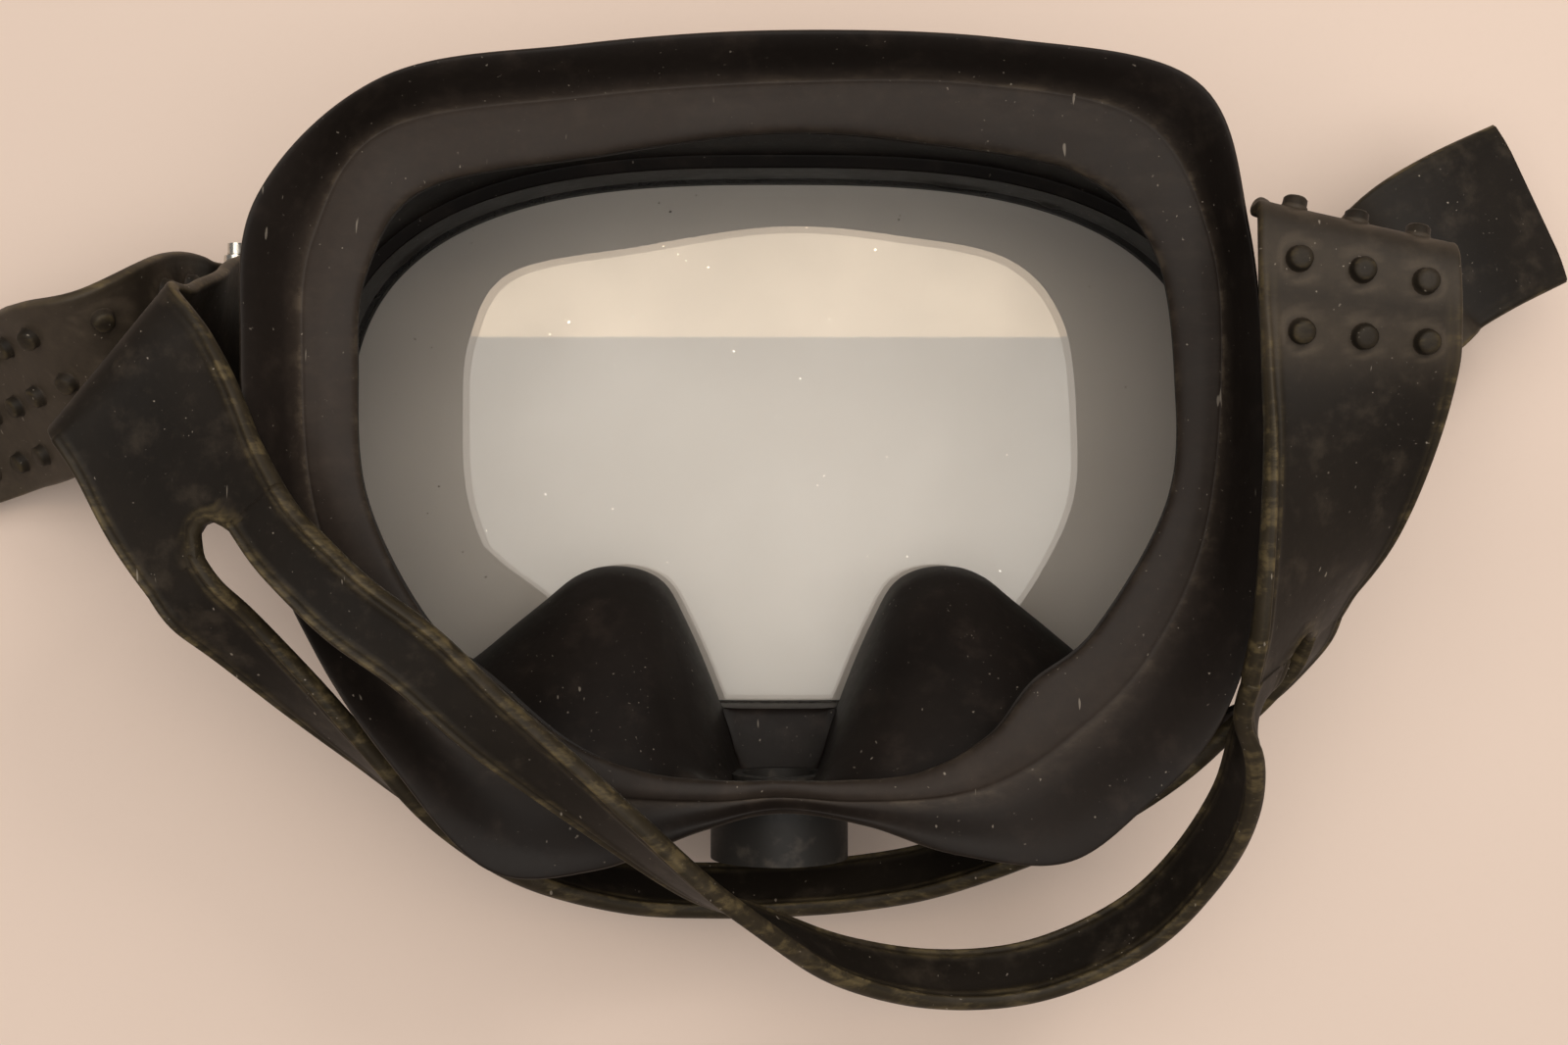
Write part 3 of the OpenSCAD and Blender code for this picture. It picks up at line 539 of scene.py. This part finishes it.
REAR_MIDDLE = [[-86, -33, 61, -0.68, -0.55, -0.5], [-78, -41.5, 56.5, -0.55, -0.45, -0.7],
               [-68.5, -52, 50.5, -0.35, -0.25, -0.9], [-57.5, -64, 42.5, -0.15, 0, -1],
               [-43.5, -73.5, 33.5, 0, 0.3, -0.95], [-27, -78.6, 26.5, 0.05, 0.5, -0.86],
               [-13, -80, 22.5, 0, 0.58, -0.8], [1, -80, 21, 0, 0.6, -0.8],
               [15, -78.6, 22.5, -0.05, 0.58, -0.8],
               [29, -75, 27, -0.2, 0.5, -0.85], [48, -66.3, 35, -0.3, 0.4, -0.87],
               [62.5, -57.5, 42, -0.25, 0.2, -0.95], [72.5, -50.5, 41.5, 0, 0.1, -1],
               [80, -45, 44, 0.3, 0, -0.95]]


def wrap(side):
    """Half turn of the strap round the roller of the buckle on that side."""
    return [[side * BAR_X - LOOP_R * math.cos(t), BUCKLE_Y, HINGE_Z - LOOP_R * math.sin(t), 0, -1, 0]
            for t in np.radians([0, 45, 90, 135, 180])]


class Path:
    """A strap's centre line with its width direction, sampled along its length in mm and eased by a moving
    average about ease mm long. The width direction is turned square to the line, by the share square(s).
    at(s) gives the place, the width direction and the normal of the studded face, w x d."""

    def __init__(self, rows, ease=1.0, square=None):
        dense = spline(rows, 24)
        run = np.concatenate([[0], np.cumsum(np.linalg.norm(np.diff(dense[:, :3], axis=0), axis=1))])
        pace = 0.25
        s = np.linspace(0, run[-1], int(run[-1] / pace))
        even = np.stack([np.interp(s, run, dense[:, k]) for k in range(6)], -1)
        reach = max(1, int(2 * ease / pace))
        weights = np.hanning(2 * reach + 3)[1:-1]
        padded = np.concatenate([2 * even[0] - even[reach:0:-1], even, 2 * even[-1] - even[-2:-reach - 2:-1]])
        even = np.stack([np.convolve(padded[:, k], weights / weights.sum(), "valid") for k in range(6)], -1)
        p, w = even[:, :3], unit(even[:, 3:])
        d = unit(np.gradient(p, axis=0))
        self.s = np.concatenate([[0], np.cumsum(np.linalg.norm(np.diff(p, axis=0), axis=1))])
        share = 1.0 if square is None else square(self.s)[:, None]
        w = unit(w - share * (w * d).sum(1, keepdims=True) * d)
        self.parts = np.concatenate([p, w, unit(np.cross(w, d))], 1)
        self.length = self.s[-1]

    def at(self, s):
        v = np.stack([np.interp(s, self.s, self.parts[:, k]) for k in range(9)], -1)
        return v[..., :3], unit(v[..., 3:6]), unit(v[..., 6:])


def fold_share(s):
    """Share of squaring along the right tongue: 0 round its fold, from 52 to 84 mm, and 1 away from it."""
    return 1 - smooth((s - 38) / 14) * (1 - smooth((s - 84) / 16))


LEFT = Path(LEFT_TONGUE + wrap(-1) + LEFT_RETURN)
RIGHT = Path(RIGHT_WIDE + wrap(1) + RIGHT_TAIL, square=fold_share)


def band_point(path, s, side, out):
    """Point of a band beyond a tongue's slot end: the tongue's frame there, moved to one edge and out."""
    p, w, n = path.at(s)
    p = p + side * BAND_OFFSET * w + out * np.cross(n, w)
    return [*p, *w]


def band_rows(middle, side):
    """A band's rows: leads out of both tongues' slot ends, with the middle rows between them."""
    ends = [band_point(LEFT, LEFT.length, side, out) for out in (-1, 1.5, 4.5)]
    return ends + middle + [band_point(RIGHT, 0.0, side, -out) for out in (4.5, 1.5, -1)]


def section_x(width):
    """Distances across the strap, close together near its edges where the beads are."""
    edge = np.array([0, 0.06, 0.18, 0.36, 0.6, 0.85, 1.1, 1.4, 1.7, 2.0, 2.3, 2.7, 3.2])
    half = width / 2
    middle = np.linspace(-half + 4, half - 4, 13) if half > 7 else np.linspace(-half + 4, half - 4, 5)
    return np.concatenate([edge - half, middle, (half - edge)[::-1]])


def strip(path, width, thick, bead, from_s, to_s, round_from, round_to, slot=None, step=0.8):
    """Closed shell of a strap. At (s, x) it is the path's place + x w, plus and minus the height h along
    the normal. h = thick / 2 + bead x two bells near every edge, brought to 0 at an edge by a quarter
    circle of radius EDGE_R. slot is the length at which a rounded slot end of radius SLOT_R is cut in."""
    x = section_x(width)
    s = np.arange(from_s, to_s + step / 2, step)
    s[-1] = to_s
    grid_s, grid_x = np.meshgrid(s, x, indexing="ij")
    half = width / 2
    arch = END_ARCH * (1 - (grid_x / half) ** 2)
    if round_from:
        grid_s = grid_s - arch * np.clip(1 - (grid_s - from_s) / END_FADE, 0, 1)
    if round_to:
        grid_s = grid_s + arch * np.clip(1 - (to_s - grid_s) / END_FADE, 0, 1)
    e = half - np.abs(grid_x)
    if round_from:
        e = np.minimum(e, np.abs(grid_s - (from_s - arch)))
    if round_to:
        e = np.minimum(e, np.abs(to_s + arch - grid_s))
    if slot is not None:
        sign = 1 if slot > (from_s + to_s) / 2 else -1
        cut = np.sqrt(np.clip(SLOT_R**2 - grid_x**2, 0, None)) * (np.abs(grid_x) < SLOT_R)
        near = np.clip(1 - np.abs(slot - grid_s) / SLOT_FADE, 0, 1)
        grid_s = grid_s - sign * cut * near
        along, hollow = (slot - grid_s) * sign, np.abs(grid_x)
        rim = np.where(along >= 0, np.hypot(along, hollow) - SLOT_R, np.abs(hollow - SLOT_R))
        e = np.minimum(e, rim.clip(0))
    bells = bump(e, 0.95, 0.5) + 0.45 * bump(e, 2.2, 0.4)
    amount = bead(grid_s) if callable(bead) else bead
    h = (thick / 2 + amount * bells) * np.sqrt(1 - (1 - np.clip(e / EDGE_R, 0, 1)) ** 2)
    p, w, n = path.at(grid_s)
    middle, rise = p + grid_x[..., None] * w, h[..., None] * n
    top, low = middle + rise, middle - rise
    rows, cols = grid_s.shape
    upper = quads(rows, cols)
    i = np.arange(cols - 1)
    last = (rows - 1) * cols
    count = rows * cols
    ends = [np.stack([i, i + count, i + 1 + count, i + 1], -1),
            np.stack([last + i, last + i + 1, last + i + 1 + count, last + i + count], -1)]
    faces = np.concatenate([upper[:, ::-1], upper + count] + [f[:, ::-1] for f in ends])
    points = np.concatenate([top.reshape(-1, 3), low.reshape(-1, 3)])
    # Olive along the bead crests is worn polish and painted highlight; the thin line at every edge and round
    # the slot is a painted highlight.
    wear_and_highlight = np.clip(bells * (amount / max(float(np.max(amount)), 1e-6)), 0, 1)
    wear_and_highlight = np.maximum(wear_and_highlight * 0.9, 0.75 * bump(e, 0.15, 0.3))
    return (points, faces), np.concatenate([wear_and_highlight.ravel(), wear_and_highlight.ravel()]), grid_s, grid_x


def stud_profile(radius=1.9, height=1.8):
    """Half section of a stud: a small flare at its foot, an upright side and a rounded top."""
    return np.array([[0, -0.6], [radius + 0.25, -0.6], [radius + 0.18, 0.05], [radius, 0.35],
                     [radius * 0.97, height - 0.45], [radius * 0.8, height - 0.1],
                     [radius * 0.45, height + 0.02], [0, height]])


def tongue(name, path, slot_s, tail_first, rows_at, bead):
    """A studded tongue: its strip, and three studs across at each length in rows_at."""
    shell, wear_and_highlight, grid_s, grid_x = strip(path, STRAP_W, STRAP_T, bead, 0, path.length,
                                        tail_first, not tail_first, slot=slot_s)
    near = np.zeros_like(grid_s)
    for s in rows_at:
        for k in STUD_PLACES:
            ring = np.hypot(grid_s - s, grid_x - k)
            near = np.maximum(near, bump(ring, 2.9, 0.9))
        near = np.maximum(near, 0.6 * bump(grid_s, s, 5.5))
    # Painted highlight: the left tongue's far end is painted in the paler dust colour over its first 70 to 90
    # mm, where it lies lit. The rings round the studs and the bands across their rows are real dust.
    if tail_first:
        near = np.maximum(near, 0.75 * (1 - smooth((grid_s - 70) / 20)))
    dust = np.concatenate([near.ravel(), near.ravel() * 0.2])
    shells, wear_and_highlights, dust_and_highlights = [shell], [wear_and_highlight], [dust]
    profile = stud_profile()
    for s in rows_at:
        p, w, n = path.at(s)
        for k in STUD_PLACES:
            stud = lathe(profile, p + k * w + STRAP_T / 2 * n, n, w, STUD_SIDES)
            shells.append(stud)
            wear_and_highlights.append(np.repeat([0, 0, 0, 0, 0.1, 0.35, 0.15, 0.1], STUD_SIDES))
            dust_and_highlights.append(np.repeat([0.7, 0.8, 0.6, 0.15, 0, 0.05, 0.12, 0.12], STUD_SIDES))
    return mesh_object(name, shells, {"wear_and_highlight": wear_and_highlights, "dust": dust_and_highlights})


def clear_of_roller(path, rows, bar_x, aside, above):
    """Those of the lengths in rows that lie farther from a roller's axis than aside in X or above in Z."""
    places = [path.at(s)[0] for s in rows]
    return rows[[abs(p[2] - HINGE_Z) > above or abs(p[0] - bar_x) > aside for p in places]]


class MaskStrap(bpy.types.PropertyGroup):
    base: bpy.props.FloatVectorProperty(
        name="Rubber", description="Colour of the strap's rubber", subtype="COLOR",
        default=(0.0085, 0.0062, 0.0043))
    bloom: bpy.props.FloatVectorProperty(
        name="Bloom", description="Colour of the dusty bloom", subtype="COLOR", default=(0.058, 0.044, 0.031))
    # Olive of the beads and edges: worn polish, and the colour of their painted highlight.
    polish_and_highlight: bpy.props.FloatVectorProperty(
        name="Worn edge", description="Colour of the polished beads", subtype="COLOR",
        default=(0.125, 0.092, 0.043))
    bead: bpy.props.FloatProperty(
        name="Bead", description="Height of the edge beads in millimetres", default=0.5, min=0, max=1)


class MASK_OT_strap(bpy.types.Operator):
    """Build the split strap: two studded tongues and two bands"""

    bl_idname = "mask.strap"
    bl_label = "Studded strap"

    def execute(self, context):
        size = context.scene.mask_strap
        finish = rubber("strap_rubber", size.base, size.bloom, size.polish_and_highlight, 0.46, 1.0)
        left_len, bead = LEFT.length, size.bead
        left_rows = clear_of_roller(LEFT, np.arange(29.5, left_len - 40, STUD_PITCH), -BAR_X, 6, 7)
        right_rows = clear_of_roller(RIGHT, np.arange(51.8, RIGHT.length - 27, STUD_PITCH), BAR_X, 8, 11)
        pieces = [
            tongue("left_tongue_rubber", LEFT, left_len, True, left_rows,
                   lambda s: bead * (0.12 + 0.88 * smooth((s - left_len + 34) / 14))),
            tongue("right_tongue_rubber", RIGHT, 0.0, False, right_rows,
                   lambda s: bead * (0.12 + 0.88 * smooth((62 - s) / 14)))]
        for name, middle, side in (
                ("front_band_rubber", FRONT_MIDDLE, -1), ("rear_band_rubber", REAR_MIDDLE, 1)):
            path = Path(band_rows(middle, side), 3.0)
            shell, wear_and_highlight, _, _ = strip(path, BAND_W, STRAP_T, bead, 0, path.length, False, False)
            pieces.append(mesh_object(name, [shell], {"wear_and_highlight": [wear_and_highlight], "dust": [wear_and_highlight * 0]}))
        for made, node in zip(pieces, ("left_tongue", "right_tongue", "front_strap_band", "rear_strap_band")):
            made.data.materials.append(finish)
            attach(made, "mask")
            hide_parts(node)
        return {"FINISHED"}


# ------------------------------------------------------------------ metal, plastic and glass


class MaskFittings(bpy.types.PropertyGroup):
    steel: bpy.props.FloatVectorProperty(
        name="Steel", description="Colour of the lens band", subtype="COLOR", default=(0.62, 0.585, 0.53))
    buckle: bpy.props.FloatVectorProperty(
        name="Buckles", description="Colour of the buckles", subtype="COLOR", default=(0.68, 0.65, 0.59))
    plastic: bpy.props.FloatVectorProperty(
        name="Valve", description="Colour of the purge valve", subtype="COLOR", default=(0.02, 0.018, 0.016))


class MASK_OT_fittings(bpy.types.Operator):
    """Finish the lens, the lens band and its clamp, the purge valve and the buckles"""

    bl_idname = "mask.fittings"
    bl_label = "Fittings"

    def execute(self, context):
        size = context.scene.mask_fittings
        steel = metal("band_steel", size.steel, 0.28, 1.4, 0.35)
        chrome = metal("buckle_steel", size.buckle, 0.16, 2.2, 0.3)
        plastic = moulded("purge_plastic", size.plastic, 0.42)
        flap = moulded("flap_rubber", (0.016, 0.014, 0.013), 0.5)
        finishes = {
            "lens": clear_glass("lens_glass"), "purge_body": plastic, "purge_seat": plastic,
            "purge_flap": flap,
            "left_buckle": chrome, "right_buckle": chrome, "left_roller": chrome, "right_roller": chrome}
        for node in ("lens_band", "clamp_screw", "clamp_nut", "left_bracket", "right_bracket",
                     "left_hinge_pin", "right_hinge_pin"):
            finishes[node] = steel
        for node, finish in finishes.items():
            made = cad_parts[node]
            made.data.materials.clear()
            made.data.materials.append(finish)
        return {"FINISHED"}


# ------------------------------------------------------------------ stage

EYE, TARGET = (0, -17.5, 373), (0.9, -14.9, -2)
LENS_MM, SENSOR_MM = 45.5, 36
TABLE_HALF = 2


class MaskStage(bpy.types.PropertyGroup):
    table: bpy.props.FloatVectorProperty(
        name="Table", description="Colour of the table", subtype="COLOR", default=(0.72, 0.575, 0.485))
    key: bpy.props.FloatProperty(
        name="Key light", description="Power of the key light", default=2.0, unit="POWER")
    sky: bpy.props.FloatProperty(
        name="Sky", description="Strength of the even light", default=0.2, min=0)


class MASK_OT_stage(bpy.types.Operator):
    """Set up the table, the lights and the camera"""

    bl_idname = "mask.stage"
    bl_label = "Stage"

    def execute(self, context):
        size = context.scene.mask_stage
        scene = context.scene
        mesh = bpy.data.meshes.new("table")
        half, z = TABLE_HALF, FRONT * MM
        corners = [(-half, -half, z), (half, -half, z), (half, half, z), (-half, half, z)]
        mesh.from_pydata(corners, [], [(0, 1, 2, 3)])
        table = bpy.data.objects.new("table", mesh)
        scene.collection.objects.link(table)
        mesh.materials.append(tabletop("table_paint", size.table))
        camera = bpy.data.objects.new("camera", bpy.data.cameras.new("camera"))
        camera.data.lens, camera.data.sensor_width = LENS_MM, SENSOR_MM
        camera.data.clip_start, camera.data.clip_end = 0.01, 20
        eye, target = Vector(EYE) * MM, Vector(TARGET) * MM
        camera.location = eye
        camera.rotation_mode = "QUATERNION"
        ahead = (target - eye).normalized()
        across = ahead.cross(Vector((0, 1, 0))).normalized()
        turn = Matrix((across, across.cross(ahead), -ahead)).transposed()
        camera.rotation_quaternion = turn.to_quaternion()
        scene.collection.objects.link(camera)
        scene.camera = camera
        world = bpy.data.worlds.new("even_light")
        world.use_nodes = True
        back = world.node_tree.nodes["Background"]
        back.inputs["Color"].default_value = (1.0, 0.96, 0.92, 1)
        back.inputs["Strength"].default_value = size.sky
        scene.world = world
        for name, place, wide, deep, power, colour in (
                ("ceiling", (0.1, 0.15, 1.25), 1.7, 1.5, size.key * 9, (1.0, 0.97, 0.93)),
                ("beam", (0.02, 0.19, 1.1), 0.9, 0.12, size.key * 0.42, (1.0, 0.74, 0.46)),
                ("key", (0.55, 0.75, 1.0), 0.35, 0.35, size.key * 1.6, (1.0, 0.96, 0.9))):
            light = bpy.data.objects.new(name, bpy.data.lights.new(name, "AREA"))
            light.data.shape = "RECTANGLE"
            light.data.size, light.data.size_y, light.data.energy = wide, deep, power
            light.data.color = colour
            light.location = place
            light.rotation_mode = "QUATERNION"
            aim = Vector((place[0], place[1], 0)) if name != "key" else Vector((0, 0, 0))
            light.rotation_quaternion = (aim - Vector(place)).to_track_quat("-Z", "Y")
            scene.collection.objects.link(light)
        scene.view_settings.view_transform = "Standard"
        return {"FINISHED"}


class MASK_PT_panel(bpy.types.Panel):
    """Lists the pieces of the mask"""

    bl_idname = "MASK_PT_panel"
    bl_label = "Diving mask"
    bl_space_type = "VIEW_3D"
    bl_region_type = "UI"
    bl_category = "Mask"

    def draw(self, context):
        for group, operator in (("mask_skirt", MASK_OT_skirt), ("mask_strap", MASK_OT_strap),
                                ("mask_fittings", MASK_OT_fittings), ("mask_stage", MASK_OT_stage)):
            box = self.layout.box()
            settings = getattr(context.scene, group)
            for key in settings.__annotations__:
                box.prop(settings, key)
            box.operator(operator.bl_idname)


GROUPS = {
    "mask_skirt": MaskSkirt, "mask_strap": MaskStrap,
    "mask_fittings": MaskFittings, "mask_stage": MaskStage}
CLASSES = (*GROUPS.values(), MASK_OT_skirt, MASK_OT_strap, MASK_OT_fittings, MASK_OT_stage, MASK_PT_panel)


def register():
    for cls in CLASSES:
        bpy.utils.register_class(cls)
    for name, group in GROUPS.items():
        setattr(bpy.types.Scene, name, bpy.props.PointerProperty(type=group))


def unregister():
    for name in GROUPS:
        delattr(bpy.types.Scene, name)
    for cls in reversed(CLASSES):
        bpy.utils.unregister_class(cls)


def main():
    register()
    bpy.ops.mask.stage()
    bpy.ops.mask.skirt()
    bpy.ops.mask.strap()
    bpy.ops.mask.fittings()


if __name__ == "__main__":
    main()
